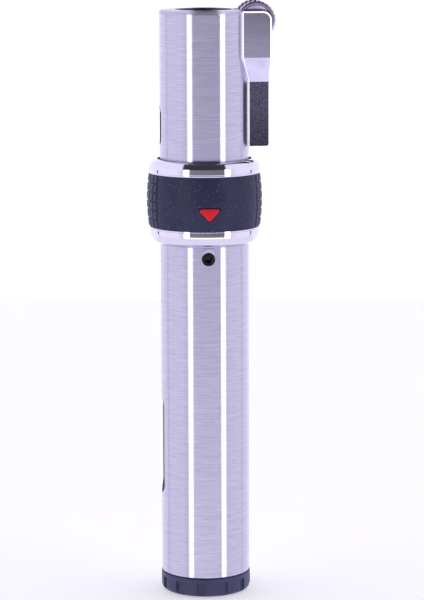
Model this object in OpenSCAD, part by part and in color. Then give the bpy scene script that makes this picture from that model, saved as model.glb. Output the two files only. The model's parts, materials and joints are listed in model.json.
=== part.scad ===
// Pen-shaped butane torch with a pull-off striker cap.
// Millimetres. +Z up, origin at the mouth of the filling port in the foot,
// arrow and set screw on -Y, striker on +X, fuel window on -X.

/* [Tubes] */
// Outside diameter of the tank tube and of the cap
tube_d = 20; // [19.8:0.05:20.1]
// Wall thickness of both tubes
tube_wall = 0.7; // [0.6:0.05:0.75]
// Height of the rim of the cap above the foot
cap_top = 132.1; // [131.5:0.1:134]
// Radius of the rounded rim of the cap
cap_rim_r = 1; // [0.6:0.1:1.2]
// Radius of the flame mouth in the end of the cap
mouth_r = 6.35; // [5.6:0.05:6.5]

/* [Grip ring] */
// Height of the underside of the grip ring
ring_z = 80.2; // [80.2:0.05:80.4]
// Height of the lower chrome bezel
lower_bezel_h = 3.6; // [3.4:0.1:3.8]
// Height of the rubber grip
grip_h = 12; // [11.8:0.1:12.2]
// Height of the upper chrome bezel
upper_bezel_h = 3.3; // [3.1:0.1:3.5]
// Largest radius of the rubber grip
grip_r = 12.95; // [12.8:0.05:13.2]
// Width of the red arrow
arrow_w = 4.6; // [4:0.1:6]

/* [Base knob] */
// Radius of the base knob
knob_r = 10.12; // [10:0.02:10.2]
// Height of the visible rim of the base knob
knob_h = 4.3; // [4.2:0.05:4.4]
// Number of finger recesses round the knob
knob_recesses = 12; // [8:1:16]
// Radius of the filling port in the foot
port_r = 3.2; // [3:0.05:3.3]

/* [Fuel window] */
// Width of the fuel window
window_w = 6.5; // [5:0.1:6.6]
// Height of the lower end of the fuel window
window_z0 = 22.4; // [20:0.1:30]
// Height of the upper end of the fuel window
window_z1 = 45.5; // [40:0.1:50]

/* [Striker] */
// Radius of the knurled thumb discs
thumb_r = 4.4; // [4.2:0.05:4.45]
// Distance of the wheel axle from the axis of the torch
wheel_x = 11.3; // [11.3:0.05:11.5]
// Height of the wheel axle
wheel_z = 129.7; // [129.6:0.05:130]
// Half width of the housing round the wheel
housing_w = 6.3; // [6.2:0.05:6.5]
// Half width of the housing round the flint tube
housing_tail_w = 3; // [2.9:0.05:3.3]
// Distance of the outer face of the housing from the axis
housing_x = 14.55; // [14.55:0.05:14.8]
// Thickness of the striker's sheet metal
sheet = 0.7; // [0.6:0.05:0.7]

/* [Hidden] */
$fn = 96;
e = 0.01;       // small overlap so that cuts pass right through
fit = 0.03;     // gap between pieces that are fixed together
run = 0.05;     // gap between pieces that turn or slide

tube_r = tube_d / 2;
bore_r = tube_r - tube_wall;
seam = 0.15;                 // shadow gap between the knob and the tank tube
tube_z0 = knob_h + seam;
tube_z1 = 80;                // upper end of the tank tube

recess_shift = 0.37;         // turn of the finger recesses from +X, in pitches
port_depth = 2.8;
hub_z = port_depth + 0.15;   // lower end of the fixed hub in the foot
hub_r = 3.6;
plug_z1 = 12;                // shoulder of the end plug that carries the tank
plug_top = 14.5;
pad_z0 = 8.3;
pad_z1 = 9.5;
pocket_r = 5.95;             // threaded pocket of the regulator nut
skirt_r0 = 7;
skirt_r1 = 8.2;
skirt_top = 6.4;
snap_z = 5.5;

feed_x = 4.8;                // feed tube beside the axis
feed_r = 1;
tank_r = 9.2;
tank_wall = 1;
pane_r0 = 8.85;              // bottom of the pocket that holds the window's pane
pane_r1 = 9.38;              // outer face of the pane, sunk in the tube's slot
tank_top = 66;
boss_top = 68;

valve_z0 = 68.05;
neck_z0 = 81;
neck_r = 9;
neck_z1 = 96.3;
valve_z1 = 98;
spindle_r = 2;
thread_r = 2.5;
seat_z = 75;
pin_r = 1;
pin_z = 87.6;
pin_half = 10.45;
needle_travel = 1;
window_lo = pin_z - pin_r - 0.3;
window_hi = pin_z + pin_r + needle_travel + 0.3;
channel_az = 45;             // azimuth of the rising gas channel
channel_rad = 6.3;
screw_az = [105, 225, 345];
set_z = 77.4;                // set screw that holds the tank tube
set_r = 1.45;

ring_z1 = ring_z + lower_bezel_h;
ring_z2 = ring_z1 + grip_h;
ring_z3 = ring_z2 + upper_bezel_h;
carrier_r = 11.4;
carrier_z0 = neck_z0 + 0.1;
carrier_z1 = 96.1;
arrow_z = 87.5;              // height from which the arrow's outline is drawn
arrow_up = 1.4;              // from there to its upper edge
arrow_down = 1.5;            // and to its tip, before that is rounded
arrow_corner = 0.4;
bezel_r = 12.4;              // lips of the bezels

gasket_z1 = 98.3;
burner_z1 = 104.5;
burner_r = 8.9;
mixer_r = 4;
mixer_bore = 3.4;
mixer_z0 = 103;
mixer_z1 = 121;
flame_r = 5;
flame_bore = 4.45;
flame_z0 = 111;
flame_z1 = 126;

cap_z0 = 98.1;
plate_z0 = cap_top - 0.8;
slot_w = 4;                  // air slot in the cap
slot_z0 = 101.9;
slot_z1 = 110.8;

housing_z0 = 101.4;
housing_z1 = cap_top - 0.3;
housing_slope_lo = 116.1;
housing_slope_hi = 121.6;
web_cut_z = 125.2;           // the outer wall is open above this for the thumb
file_r = 3.7;
file_half = 2.25;
wheel_half = 4.5;
axle_r = 0.8;
flint_x = 11.95;
flint_r = 1.25;
flint_z1 = wheel_z - file_r - 0.07;
flint_z0 = flint_z1 - 4.7;
flint_tube_r = 1.85;
flint_bore = 1.35;
screw_r = 1.9;               // head of the flint screw, flush in the housing
flint_tube_top = 125;
plunger_z0 = flint_z0 - 1.7;
spring_z0 = 105.5;

// ---- shared shapes ----

// Points of an arc from angle a0 to a1, about (cx, cy).
function arc(cx, cy, r, a0, a1, n = 8) = [
    for (i = [0:n]) let (a = a0 + (a1 - a0) * i / n)
        [cx + r * cos(a), cy + r * sin(a)]
];

// A polygon whose corners are rounded to radius r.
function rounded(pts, r, n = 5) = [
    for (i = [0:len(pts) - 1])
        let (
            p = pts[i],
            u = unit(pts[(i + len(pts) - 1) % len(pts)] - p),
            v = unit(pts[(i + 1) % len(pts)] - p),
            half = acos(u * v) / 2,
            c = p + unit(u + v) * r / sin(half),
            a0 = p + u * r / tan(half) - c,
            a1 = p + v * r / tan(half) - c
        )
        for (k = [0:n]) c + unit(a0 * (n - k) + a1 * k) * r
];
function unit(v) = v / norm(v);

// A solid of revolution about Z from its half section.
module turned(pts) rotate_extrude() polygon(pts);

// A ring of rectangular section.
module ring(r0, r1, z0, z1) {
    turned([[r0, z0], [r1, z0], [r1, z1], [r0, z1]]);
}

// A disc or rod about Z.
module rod(r, z0, z1) translate([0, 0, z0]) cylinder(r = r, h = z1 - z0);

// An O-ring about Z.
module o_ring(r, minor, z) {
    translate([0, 0, z]) rotate_extrude() translate([r, 0]) circle(r = minor, $fn = 48);
}

// A round hole drilled towards the axis from outside, at azimuth az.
module drilling(r, az, z, r_in, r_out) {
    rotate([0, 0, az]) translate([r_in, 0, z]) rotate([0, 90, 0])
        cylinder(r = r, h = r_out - r_in, $fn = 32);
}

// Places its children at a radius and azimuth.
module at(rad, az) rotate([0, 0, az]) translate([rad, 0, 0]) children();

// A sector of a ring between two azimuths.
module sector(r0, r1, a0, a1, z0, z1) {
    translate([0, 0, z0]) rotate([0, 0, a0]) rotate_extrude(angle = a1 - a0)
        polygon([[r0, 0], [r1, 0], [r1, z1 - z0], [r0, z1 - z0]]);
}

// A wound wire spring about Z, closed at both ends.
module coil(r, wire, z0, z1, turns, steps = 14, sides = 6) {
    n = turns * steps;
    pts = [
        for (i = [0:n], k = [0:sides - 1])
            let (a = 360 * i / steps, b = 360 * k / sides, q = r + wire * cos(b))
            [q * cos(a), q * sin(a), z0 + wire + (z1 - z0 - 2 * wire) * i / n + wire * sin(b)]
    ];
    sides_f = [
        for (i = [0:n - 1], k = [0:sides - 1]) let (m = (k + 1) % sides)
            [i * sides + k, i * sides + m, (i + 1) * sides + m, (i + 1) * sides + k]
    ];
    first = [for (k = [sides - 1:-1:0]) k];
    last = [for (k = [0:sides - 1]) n * sides + k];
    polyhedron(points = pts, faces = concat([first], sides_f, [last]), convexity = 10);
}

// An upright slot with round ends, cut along X at y = 0.
module slot_x(w, z0, z1, x0, x1) {
    translate([x0, 0, 0]) rotate([0, 90, 0]) {
        for (z = [z0 + w / 2, z1 - w / 2])
            translate([-z, 0, 0]) cylinder(r = w / 2, h = x1 - x0, $fn = 48);
    }
    translate([x0, -w / 2, z0 + w / 2]) cube([x1 - x0, w, z1 - z0 - w]);
}

// ---- foot, filling valve and flow regulator ----

module base_knob() color("#3a3a52") {
    foot_r = 0.9;
    difference() {
        union() {
            turned(concat(
                [[port_r, 0]],
                arc(knob_r - foot_r, foot_r, foot_r, -90, 0),
                [[knob_r, knob_h - 0.2], [knob_r - 0.2, knob_h],
                 [skirt_r1, knob_h], [skirt_r1, skirt_top],
                 [skirt_r0, skirt_top], [skirt_r0, knob_h],
                 [hub_r + run, knob_h], [hub_r + run, port_depth],
                 [port_r, port_depth]]
            ));
            for (a = [0, 180])
                sector(4.2, 5.4, a - 14, a + 14, knob_h - e, 7);
        }
        ring(skirt_r1 - 0.35, skirt_r1 + e, snap_z - 0.4, snap_z + 0.4);
        for (i = [0:knob_recesses - 1]) rotate([0, 0, (i - recess_shift) * 360 / knob_recesses])
            translate([knob_r - 0.5, -0.9, -e]) cube([1, 1.8, 3.3]);
    }
}

module knob_snap_ring() color("silver") difference() {
    o_ring((skirt_r1 + 8.3) / 2, 0.34, snap_z);
    translate([0, -0.6, snap_z - 1]) cube([12, 1.2, 2]);
}

module tank_end_plug() color("dimgray") difference() {
    turned([
        [2.65, hub_z], [hub_r, hub_z], [hub_r, pad_z1], [pocket_r, pad_z1],
        [pocket_r, 4.6], [6.85, 4.6], [6.85, 6.6], [8.3, 6.6],
        [8.3, snap_z + 0.4], [8.65, snap_z + 0.4], [8.65, snap_z - 0.4],
        [8.3, snap_z - 0.4], [8.3, 4.6], [bore_r - fit, 4.6],
        [bore_r - fit, plug_z1], [8.15, plug_z1], [8.15, 12.8], [7.3, 12.8],
        [7.3, 13.7], [8.15, 13.7], [8.15, plug_top], [2.65, plug_top]
    ]);
    for (x = [feed_x, -feed_x]) translate([x, 0, 0]) rod(0.6, pad_z1 - 0.2, plug_top + 1, $fn = 32);
    translate([feed_x, 0, 0]) rod(feed_r + fit, 10.5, plug_top + 1, $fn = 32);
}

module tank_seal() color("#222222") o_ring(7.75, 0.42, 13.25);

module fill_valve_body() color("goldenrod") {
    turned([
        [0.9, 3.3], [2.4, 3.3], [2.6, 3.5], [2.6, 14], [1.9, 14],
        [1.9, 7.5], [0.9, 7.5]
    ]);
}

module fill_valve_plug() color("gold") difference() {
    rod(1.9 - fit, 12.5, 14);
    rod(0.5, 12, 15, $fn = 32);
}

module fill_valve_stem() color("gold") {
    turned([
        [0, 3], [0.7, 3], [0.85, 3.15], [0.85, 7.9], [1.6, 7.9], [1.6, 8.6],
        [0.6, 8.6], [0.6, 10.4], [0, 10.4]
    ]);
}

module fill_valve_seal() color("#222222") ring(0.85 + 0.02, 1.6, 7.55, 7.88);

module fill_valve_spring() color("silver") coil(1.3, 0.15, 8.65, 12.45, 5);

module regulator_nut() color("goldenrod") difference() {
    ring(hub_r + run, pocket_r - run, 6.2, 8.2);
    for (a = [0, 180]) sector(4.1, 5.5, a - 16, a + 16, 6.2 - e, 8.05);
}

module flow_pad() color("khaki") ring(hub_r + run, pocket_r - run, pad_z0, pad_z1 - fit);

// ---- tank ----

module feed_tube() color("goldenrod") translate([feed_x, 0, 0]) {
    difference() {
        rod(feed_r, 10.6, 71.3, $fn = 32);
        rod(0.6, 10, 72, $fn = 32);
    }
}

module feed_seal() color("#222222") translate([feed_x, 0, 0]) o_ring(1.45, 0.41, 67.4);

module fuel_tank() color("lightsteelblue", 0.6) difference() {
    union() {
        turned([
            [0, tank_top - 2], [tank_r - tank_wall, tank_top - 2],
            [tank_r - tank_wall, plug_z1 + run], [tank_r, plug_z1 + run],
            [tank_r, tank_top - 1], [tank_r - 1, tank_top], [0, tank_top]
        ]);
        translate([feed_x, 0, 0]) rod(2.5, tank_top - e, boss_top, $fn = 48);
    }
    translate([feed_x, 0, 0]) {
        rod(feed_r + fit, tank_top - 3, boss_top + 1, $fn = 32);
        rod(1.9, 66.8, boss_top + 1, $fn = 32);
    }
    pane(0, pane_r0, tube_r);
}

module tank_tube() color("lightgray") difference() {
    ring(bore_r, tube_r, tube_z0, tube_z1);
    slot_x(window_w, window_z0, window_z1, -12, -5);
    translate([0, -5, set_z]) rotate([90, 0, 0]) cylinder(r = set_r + run, h = 6, $fn = 48);
}

// The pane behind the tube's slot, smaller than the slot by t, from radius r0 to r1.
module pane(t, r0, r1) intersection() {
    slot_x(window_w - 2 * t, window_z0 + t, window_z1 - t, -12, -5);
    ring(r0, r1, window_z0, window_z1);
}

module sight_window() color("slategray", 0.6) pane(fit, pane_r0 + fit, pane_r1);

// ---- valve under the grip ring ----

module valve_body() color("silver") difference() {
    turned([
        [0, valve_z0], [bore_r - fit, valve_z0], [bore_r - fit, tube_z1],
        [tube_r, tube_z1], [tube_r, neck_z0], [neck_r, neck_z0],
        [neck_r, neck_z1], [8.5, neck_z1], [8.5, valve_z1], [0, valve_z1]
    ]);
    // gas inlet from the feed tube, cross drilling and seat bore
    translate([feed_x, 0, 0]) {
        rod(feed_r + fit, valve_z0 - 1, 71.5, $fn = 32);
        rod(0.5, 71, 72.6, $fn = 32);
    }
    drilling(0.5, 0, 72.6, 0, 12);
    rod(0.6, 72.6, seat_z + e, $fn = 32);
    // chamber, spindle guide with its seal gland, and threaded bore
    rod(2.6, seat_z, 79, $fn = 48);
    rod(spindle_r + run, 78.9, 82.1, $fn = 48);
    rod(2.9, 80, 81.4, $fn = 48);
    rod(thread_r, 82, valve_z1 + 1, $fn = 48);
    // rising gas channel
    drilling(0.5, channel_az, 77.4, 0, 12);
    at(channel_rad, channel_az) rod(0.5, 77.4, valve_z1 + 1, $fn = 32);
    // two windows that let the drive pin sweep a quarter turn
    for (a = [-90, 90]) {
        sector(0, neck_r + 2, a, a + 90, window_lo, window_hi);
        for (b = [a, a + 90]) rotate([0, 0, b])
            translate([0, -pin_r - 0.15, window_lo])
                cube([neck_r + 2, 2 * pin_r + 0.3, window_hi - window_lo]);
    }
    for (a = screw_az) at(channel_rad, a) rod(1, 93, valve_z1 + 1, $fn = 32);
    translate([0, -5.4, set_z]) rotate([90, 0, 0]) cylinder(r = set_r + fit, h = 6, $fn = 48);
}

module set_screw() color("#303036") difference() {
    translate([0, -5.6, set_z]) rotate([90, 0, 0]) cylinder(r = set_r, h = 4, $fn = 48);
    translate([0, -8.1, set_z]) rotate([90, 0, 0]) cylinder(r = 1.5 / 2 / cos(30), h = 4, $fn = 6);
    translate([0, -9.3, set_z]) rotate([90, 0, 0]) cylinder(r1 = 0.75, r2 = 1.1, h = 0.35, $fn = 48);
}

module gallery_plugs() color("goldenrod") {
    drilling(0.5 - 0.02, 0, 72.6, 7.6, 9.1);
    drilling(0.5 - 0.02, channel_az, 77.4, 7.4, 9.1);
    drilling(0.5 - 0.02, channel_az, 100.8, 7.3, 8.7);
}

module needle_spindle() color("gold") difference() {
    turned([
        [0, seat_z - 0.6], [0.3, seat_z - 0.5], [0.56, seat_z],
        [1.3, seat_z + 1.3], [spindle_r, seat_z + 1.3], [spindle_r, 90.6],
        [thread_r - run, 90.7], [thread_r - run, 95.2], [2.2, 95.4], [0, 95.4]
    ]);
    translate([0, 5, pin_z]) rotate([90, 0, 0]) cylinder(r = pin_r + 0.02, h = 10, $fn = 48);
    translate([-3, -0.3, 94.8]) cube([6, 0.6, 2]);
}

module spindle_seal() color("#222222") o_ring(2.47, 0.4, 80.7);

module drive_pin() color("silver") {
    translate([0, pin_half, pin_z]) rotate([90, 0, 0]) cylinder(r = pin_r, h = 2 * pin_half, $fn = 48);
}

module bore_plug() color("goldenrod") rod(thread_r - 0.02, 96.6, valve_z1, $fn = 48);

module wave_washer() color("silver") ring(neck_r + run, 9.8, carrier_z1 + run, 96.45);

module retaining_nut() color("silver") difference() {
    ring(8.5 + fit, 9.85, 96.5, valve_z1);
    for (a = [45:90:315]) rotate([0, 0, a])
        translate([9.3, -0.6, 97.3]) cube([2, 1.2, 2]);
}

// ---- grip ring ----

module ring_carrier() color("dimgray") difference() {
    ring(neck_r + run, carrier_r, carrier_z0, carrier_z1);
    for (a = [90, 270]) rotate([0, 0, a])
        translate([neck_r - 1, -pin_r - 0.1, carrier_z0 + 2])
            cube([1 + 10.65 - neck_r, 2 * pin_r + 0.2, 20]);
}

module lower_bezel() color("#e8e8f4") {
    r0 = tube_r + 0.12;
    turned(concat(
        [[r0, ring_z]],
        arc(bezel_r - 1.9, ring_z + 1.9, 1.9, -75, 0),
        [[bezel_r, ring_z1 - 0.4], [bezel_r - 0.15, ring_z1], [carrier_r + fit, ring_z1],
         [carrier_r + fit, carrier_z0 - fit], [r0, carrier_z0 - fit]]
    ));
}

module upper_bezel() color("#e8e8f4") {
    r0 = tube_r + 0.7;
    turned(concat(
        [[carrier_r + fit, ring_z2], [bezel_r, ring_z2], [bezel_r + 0.15, ring_z2 + 0.4]],
        arc(bezel_r - 1.85, ring_z3 - 2.1, 2, 0, 80),
        [[r0, ring_z3 - 0.1], [r0, carrier_z1 + fit], [carrier_r + fit, carrier_z1 + fit]]
    ));
}

module grip_sleeve() color("#3a3a58") difference() {
    mid = (ring_z1 + ring_z2) / 2;
    end_r = 12.5;
    bulge = grip_r - end_r;
    half = grip_h / 2;
    turned(concat(
        [[carrier_r + fit, ring_z1 + 0.02]],
        [for (i = [-8:8]) [end_r + bulge * (1 - pow(i / 8, 2)), mid + i / 8 * (half - 0.02)]],
        [[carrier_r + fit, ring_z2 - 0.02]]
    ));
    arrow_cut(0.03, 12.1);
}

// The arrow's outline, extruded outwards on -Y from radius r_in.
module arrow_cut(grow, r_in) {
    w = arrow_w / 2 + arrow_corner + grow;
    top = arrow_up + grow;
    rotate([90, 0, 0]) translate([0, arrow_z, r_in]) linear_extrude(height = 3)
        polygon(rounded([[-w, top], [0, -arrow_down - grow], [w, top]], arrow_corner));
}

module arrow_mark() color("#e8303a") intersection() {
    arrow_cut(0, 12.13);
    rod(grip_r + 0.02, arrow_z - 4, arrow_z + 4);
}

// ---- burner under the cap ----

module burner_gasket() color("darkred") difference() {
    rod(8.4, valve_z1 + 0.01, gasket_z1 - 0.01);
    for (a = concat(screw_az, [channel_az])) at(channel_rad, a) rod(1.05, 97, 99, $fn = 32);
}

module burner_base() color("silver") difference() {
    rod(burner_r, gasket_z1, burner_z1);
    ring(7.8, burner_r + 1, 102.1, 103.9);
    ring(mixer_bore - fit, mixer_r + fit, mixer_z0, burner_z1 + 1);
    rod(2.02, 102, burner_z1 + 1, $fn = 48);
    rod(0.9, 100.8, 102.1, $fn = 32);
    drilling(0.5, channel_az, 100.8, 0, 12);
    at(channel_rad, channel_az) rod(0.5, gasket_z1 - 1, 100.8, $fn = 32);
    for (a = screw_az) at(channel_rad, a) rod(1.05, gasket_z1 - 1, burner_z1 + 1, $fn = 32);
}

module burner_screws() color("silver") for (a = screw_az) at(channel_rad, a) difference() {
    union() {
        rod(0.98, 93.5, burner_z1 + 0.2, $fn = 32);
        turned([[0, burner_z1 + 0.02], [1.75, burner_z1 + 0.02], [1.75, burner_z1 + 0.7],
                [1.3, burner_z1 + 1.2], [0, burner_z1 + 1.2]]);
    }
    translate([0, 0, burner_z1 + 0.5]) cylinder(r = 0.75, h = 2, $fn = 6);
}

module gas_jet() color("gold") difference() {
    union() {
        rod(2, 102.05, burner_z1 + 0.1, $fn = 48);
        translate([0, 0, burner_z1 + 0.02]) cylinder(r = 2.9, h = 1.5, $fn = 6);
        turned([[0, 106], [1.8, 106], [1.8, 107.2], [0.8, 109], [0, 109]]);
    }
    rod(0.8, 101, 107.5, $fn = 32);
    rod(0.2, 107, 110, $fn = 24);
}

module mixing_tube() color("lightgray") difference() {
    ring(mixer_bore, mixer_r, mixer_z0 + fit, mixer_z1);
    for (a = [0:60:300]) drilling(1.1, a + 30, 108, 2, 6);
}

module flame_holder() color("goldenrod") difference() {
    rod(mixer_bore - fit, 116, 119.5);
    rod(0.42, 115, 121, $fn = 24);
    for (k = [1:2], i = [0:6 * k - 1]) at(1.25 * k, i * 60 / k) rod(0.42, 115, 121, $fn = 24);
}

module nozzle_collar() color("goldenrod") ring(mixer_r + fit, flame_bore - fit, 112, 117);

module flame_tube() color("lightgray") {
    turned([
        [flame_bore, flame_z0], [flame_r, flame_z0], [flame_r, flame_z1 - 0.3],
        [flame_r - 0.3, flame_z1], [4.1, flame_z1], [4.1, flame_z1 - 0.5],
        [flame_bore, flame_z1 - 1.2]
    ]);
}

module cap_grip_ring() color("#222222") o_ring(8.54, 0.71, 103);

// ---- striker cap ----

module cap_tube() color("lightgray") difference() {
    turned(concat(
        [[bore_r, cap_z0], [tube_r, cap_z0]],
        arc(tube_r - cap_rim_r, cap_top - cap_rim_r, cap_rim_r, 0, 90),
        [[mouth_r, cap_top], [mouth_r, plate_z0], [bore_r - 0.4, plate_z0],
         [bore_r, plate_z0 - 0.4]]
    ));
    slot_x(slot_w, slot_z0, slot_z1, -12, -5);
    // opening that lets the wheel reach the flame
    translate([7.05, -4.75, 124.8]) cube([6, 9.5, 10]);
}

// Outline of the housing as seen from +X, drawn in Y and Z, inset by t.
module housing_front(t, z0, z1) {
    w = housing_w - t;
    s = housing_tail_w - t;
    polygon([
        [-s, z0], [s, z0], [s, housing_slope_lo], [w, housing_slope_hi],
        [w, z1], [-w, z1], [-w, housing_slope_hi], [-s, housing_slope_lo]
    ]);
}

module striker_housing() color("#c8c6d8") difference() {
    intersection() {
        translate([6, 0, 0]) rotate([90, 0, 90]) linear_extrude(height = 10)
            housing_front(0, housing_z0, housing_z1);
        rotate([90, 0, 0]) translate([0, 0, -10]) linear_extrude(height = 20)
            polygon(concat(
                [[6, housing_z0]],
                arc(housing_x - 0.6, housing_z0 + 0.6, 0.6, -90, 0, 4),
                arc(housing_x - 2, housing_z1 - 2, 2, 0, 90),
                [[6, housing_z1]]
            ));
    }
    translate([5, 0, 0]) rotate([90, 0, 90]) linear_extrude(height = housing_x - sheet - 5)
        housing_front(sheet, housing_z0 + sheet, housing_z1 + 5);
    // thumb opening in the outer wall
    translate([housing_x - sheet - 1, -housing_w + sheet, web_cut_z])
        cube([5, 2 * (housing_w - sheet), 20]);
    rod(tube_r + 0.02, housing_z0 - 1, housing_z1 + 5);
    translate([flint_x, 0, 0]) rod(screw_r + run, housing_z0 - 1, housing_z0 + 2, $fn = 48);
    // blind seats for the axle
    translate([wheel_x, 5.95, wheel_z]) rotate([90, 0, 0]) cylinder(r = axle_r + 0.02, h = 11.9, $fn = 48);
}

module wheel_axle() color("silver") {
    translate([wheel_x, 5.93, wheel_z]) rotate([90, 0, 0]) cylinder(r = axle_r, h = 11.86, $fn = 48);
}

// A toothed disc about the axle, from y0 to y1.
module toothed(r, depth, teeth, y0, y1) {
    translate([wheel_x, y1, wheel_z]) rotate([90, 0, 0]) linear_extrude(height = y1 - y0)
        polygon([
            for (i = [0:teeth - 1], k = [0:3])
                let (a = (i + [0.05, 0.4, 0.6, 0.95][k]) * 360 / teeth,
                     q = r - [depth, 0, 0, depth][k])
                [q * cos(a), q * sin(a)]
        ]);
}

module axle_hole() {
    translate([wheel_x, 6, wheel_z]) rotate([90, 0, 0]) cylinder(r = axle_r + run, h = 12, $fn = 48);
}

module spark_wheel() color("#50505a") difference() {
    toothed(file_r, 0.25, 32, -file_half, file_half);
    axle_hole();
}

module thumb_discs() color("silver") difference() {
    union() for (s = [-1, 1])
        toothed(thumb_r, 0.35, 24, min(s * wheel_half, s * (file_half + 0.02)),
                max(s * wheel_half, s * (file_half + 0.02)));
    axle_hole();
    // dished outer faces
    for (s = [-1, 1]) translate([wheel_x, s * (wheel_half + 1), wheel_z]) rotate([90, 0, 0])
        translate([0, 0, -1.35]) cylinder(r = 3.3, h = 2.7, $fn = 48);
}

module flint_tube() color("goldenrod") translate([flint_x, 0, 0]) {
    difference() {
        rod(flint_tube_r, housing_z0 + sheet + fit, flint_tube_top, $fn = 48);
        rod(flint_bore, housing_z0, flint_tube_top + 1, $fn = 48);
    }
}

module flint() color("#45454d") translate([flint_x, 0, 0]) rod(flint_r, flint_z0, flint_z1, $fn = 48);

module flint_plunger() color("gold") translate([flint_x, 0, 0]) {
    turned([[0, plunger_z0 - 2.5], [0.5, plunger_z0 - 2.5], [0.5, plunger_z0],
            [flint_r, plunger_z0], [flint_r, flint_z0 - 0.02], [0, flint_z0 - 0.02]]);
}

module flint_spring() color("silver") translate([flint_x, 0, 0]) {
    coil(0.95, 0.2, spring_z0, plunger_z0 - 0.03, 13);
}

module flint_screw() color("#45454d") translate([flint_x, 0, 0]) difference() {
    union() {
        rod(screw_r, housing_z0 + 0.05, housing_z0 + sheet, $fn = 48);
        rod(flint_bore - fit, housing_z0 + 0.1, spring_z0 - 0.05, $fn = 48);
    }
    translate([-3, -0.25, housing_z0 - 1]) cube([6, 0.5, 1.35]);
}

base_knob();
knob_snap_ring();
tank_end_plug();
tank_seal();
fill_valve_body();
fill_valve_plug();
fill_valve_stem();
fill_valve_seal();
fill_valve_spring();
regulator_nut();
flow_pad();
feed_tube();
feed_seal();
fuel_tank();
tank_tube();
sight_window();
valve_body();
set_screw();
gallery_plugs();
needle_spindle();
spindle_seal();
drive_pin();
bore_plug();
wave_washer();
retaining_nut();
ring_carrier();
lower_bezel();
upper_bezel();
grip_sleeve();
arrow_mark();
burner_gasket();
burner_base();
burner_screws();
gas_jet();
mixing_tube();
flame_holder();
nozzle_collar();
flame_tube();
cap_grip_ring();
cap_tube();
striker_housing();
wheel_axle();
spark_wheel();
thumb_discs();
flint_tube();
flint();
flint_plunger();
flint_spring();
flint_screw();
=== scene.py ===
"""Looks of a pen-shaped butane torch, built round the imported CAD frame.

Lengths are in mm until a mesh becomes an object.
"""
import json
import math

import bmesh
import bpy
from mathutils import Matrix, Vector

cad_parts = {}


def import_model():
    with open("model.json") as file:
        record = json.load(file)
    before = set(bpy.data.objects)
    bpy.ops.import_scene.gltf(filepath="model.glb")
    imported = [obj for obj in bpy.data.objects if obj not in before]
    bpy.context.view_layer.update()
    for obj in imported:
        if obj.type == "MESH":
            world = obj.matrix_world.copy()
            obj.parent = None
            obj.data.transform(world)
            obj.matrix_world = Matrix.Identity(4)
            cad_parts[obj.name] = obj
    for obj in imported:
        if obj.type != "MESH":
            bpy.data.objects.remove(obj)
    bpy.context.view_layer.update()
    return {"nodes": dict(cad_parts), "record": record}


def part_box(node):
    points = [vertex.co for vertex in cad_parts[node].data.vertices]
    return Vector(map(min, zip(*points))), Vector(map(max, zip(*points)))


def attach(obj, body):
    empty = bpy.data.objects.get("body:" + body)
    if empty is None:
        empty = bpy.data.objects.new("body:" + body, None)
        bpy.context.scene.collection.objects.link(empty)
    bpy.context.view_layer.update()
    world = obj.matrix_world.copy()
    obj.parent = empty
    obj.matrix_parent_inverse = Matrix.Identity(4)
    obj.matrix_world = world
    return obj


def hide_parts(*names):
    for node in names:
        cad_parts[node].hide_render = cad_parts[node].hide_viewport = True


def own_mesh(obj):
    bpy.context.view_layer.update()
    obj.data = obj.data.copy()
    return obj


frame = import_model()

MM = 0.001
SIDES = 192              # segments round a turned piece
CREASE = math.radians(32)


def low(node):
    """Lowest corner of a CAD node, in mm."""
    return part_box(node)[0] / MM


def high(node):
    """Highest corner of a CAD node, in mm."""
    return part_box(node)[1] / MM


# ---------------------------------------------------------------- node materials

RANGE_SOCKETS = ("From Min", "From Max", "To Min", "To Max")


def new_material(name):
    """A new material, with its node tree and its shader."""
    mat = bpy.data.materials.new(name)
    mat.use_nodes = True
    tree = mat.node_tree
    return mat, tree, tree.nodes["Principled BSDF"]


def stretched_noise(tree, stretch, scale, detail=4.0, rough=0.6):
    """Noise in object space, with its coordinates multiplied by stretch."""
    coords = tree.nodes.new("ShaderNodeTexCoord")
    mapping = tree.nodes.new("ShaderNodeMapping")
    mapping.inputs["Scale"].default_value = stretch
    noise = tree.nodes.new("ShaderNodeTexNoise")
    noise.inputs["Scale"].default_value = scale
    noise.inputs["Detail"].default_value = detail
    noise.inputs["Roughness"].default_value = rough
    tree.links.new(coords.outputs["Object"], mapping.inputs["Vector"])
    tree.links.new(mapping.outputs["Vector"], noise.inputs["Vector"])
    return noise.outputs["Fac"]


def remap(tree, value, low_in, high_in, low_out, high_out):
    """Maps a socket's value from one range onto another."""
    node = tree.nodes.new("ShaderNodeMapRange")
    for socket, number in zip(RANGE_SOCKETS, (low_in, high_in, low_out, high_out)):
        node.inputs[socket].default_value = number
    tree.links.new(value, node.inputs["Value"])
    return node.outputs["Result"]


def mix_colour(tree, factor, first, second):
    """Mixes two colours by a factor socket."""
    node = tree.nodes.new("ShaderNodeMix")
    node.data_type = "RGBA"
    for socket, colour in (("A", first), ("B", second)):
        socket = next(s for s in node.inputs if s.name == socket and s.type == "RGBA")
        if isinstance(colour, tuple):
            socket.default_value = (*colour, 1)
        else:
            tree.links.new(colour, socket)
    tree.links.new(factor, node.inputs[0])
    return next(s for s in node.outputs if s.type == "RGBA")


def bump(tree, shader, height, distance, strength=1.0):
    """Roughens a shader's surface by a height socket; the distance is in metres."""
    node = tree.nodes.new("ShaderNodeBump")
    node.inputs["Strength"].default_value = strength
    node.inputs["Distance"].default_value = distance
    tree.links.new(height, node.inputs["Height"])
    tree.links.new(node.outputs["Normal"], shader.inputs["Normal"])


def scaled(colour, factor):
    """A colour made lighter or darker, never above 1."""
    return tuple(min(1.0, factor * c) for c in colour)


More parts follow.
